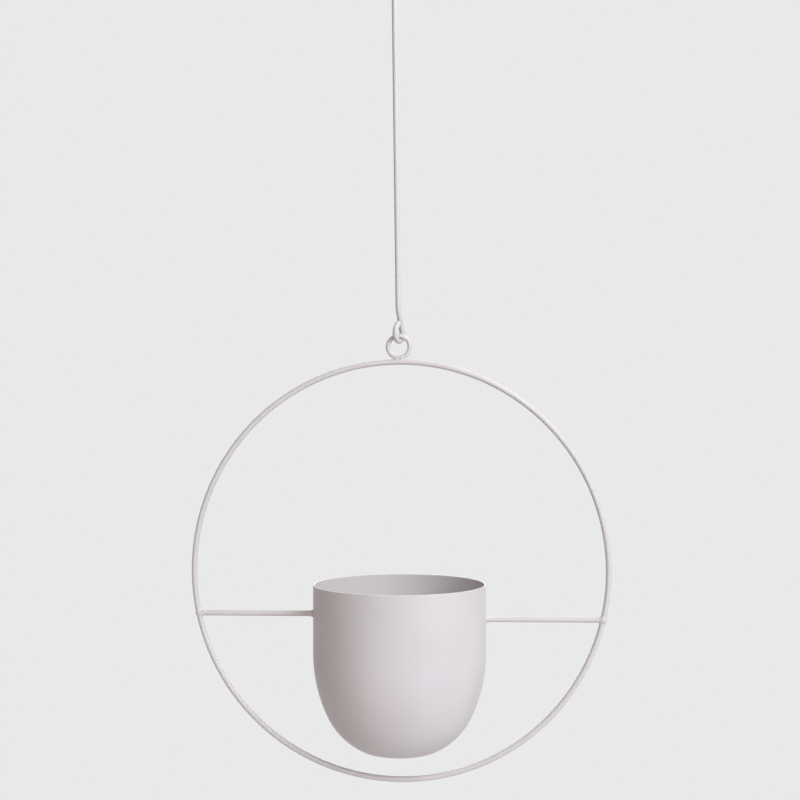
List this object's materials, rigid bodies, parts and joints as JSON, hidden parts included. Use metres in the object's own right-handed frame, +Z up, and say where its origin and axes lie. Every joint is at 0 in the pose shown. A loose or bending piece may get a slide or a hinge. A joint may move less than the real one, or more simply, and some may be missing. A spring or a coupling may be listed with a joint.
{
  "type": "hanging planter",
  "caption": "Metal hanging planter: a small round pot held by two level bars inside an upright wire hoop, which sways on the looped end of a hooked rod.",
  "frame": {"origin": "the point under the crest of the top hook where it bears on what holds it; the pot's axis and the middle of the hoop lie straight below it", "axes": "+Z up, along the rod; X across the hoop, which stands in the XZ plane; the front looks along -Y"},
  "size_m": [0.3, 0.1226, 0.5998],
  "materials": {
    "rod_coat": "satin powder coat",
    "frame_coat": "satin powder coat",
    "pot_coat": "satin powder coat, with the fine grain of a powder finish"
  },
  "bodies": {
    "hanging_rod": {"hanging_rod": "rod_coat"},
    "hoop_and_pot": {"hoop": "frame_coat", "hoop_eye": "frame_coat", "eye_weld": "frame_coat", "left_bar": "frame_coat", "right_bar": "frame_coat", "left_hoop_weld": "frame_coat", "right_hoop_weld": "frame_coat", "left_pot_weld": "frame_coat", "right_pot_weld": "frame_coat", "pot": "pot_coat"}
  },
  "joints": [
    {"name": "sway", "type": "hinge", "parent": "hanging_rod", "child": "hoop_and_pot", "pos_m": [0, 0, -0.283], "axis": [0.3746, 0.9272, 0], "range_deg": [-60, 60]}
  ]
}
